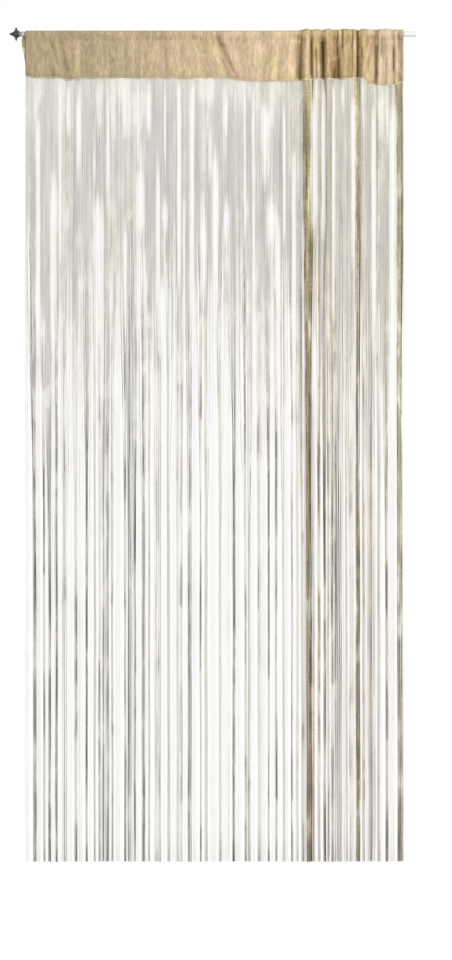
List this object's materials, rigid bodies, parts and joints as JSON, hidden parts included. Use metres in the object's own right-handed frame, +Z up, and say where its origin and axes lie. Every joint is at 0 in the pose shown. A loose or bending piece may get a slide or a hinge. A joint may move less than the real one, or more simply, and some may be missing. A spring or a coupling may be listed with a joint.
{
  "type": "string curtain on a rod",
  "caption": "String curtain whose cloth heading, flat on the left and gathered on the right, hangs on a slim round rod with a small turned end knob.",
  "frame": {"origin": "on the rod's axis, midway between the heading's two ends", "axes": "+X along the rod towards its bare end, +Y towards the back, +Z up; the front faces -Y"},
  "size_m": [0.9774, 0.035, 2.0066],
  "materials": {
    "heading_cloth": "plain woven cloth with fine upright slubs, matt",
    "string_yarn": "fine twisted yarn, off-white to warm grey",
    "rod_metal": "pale satin metal",
    "knob_metal": "dark grey satin"
  },
  "bodies": {
    "root": {"heading": "heading_cloth", "string_fringe": "string_yarn", "rod": "rod_metal", "end_knob": "knob_metal"}
  },
  "joints": []
}
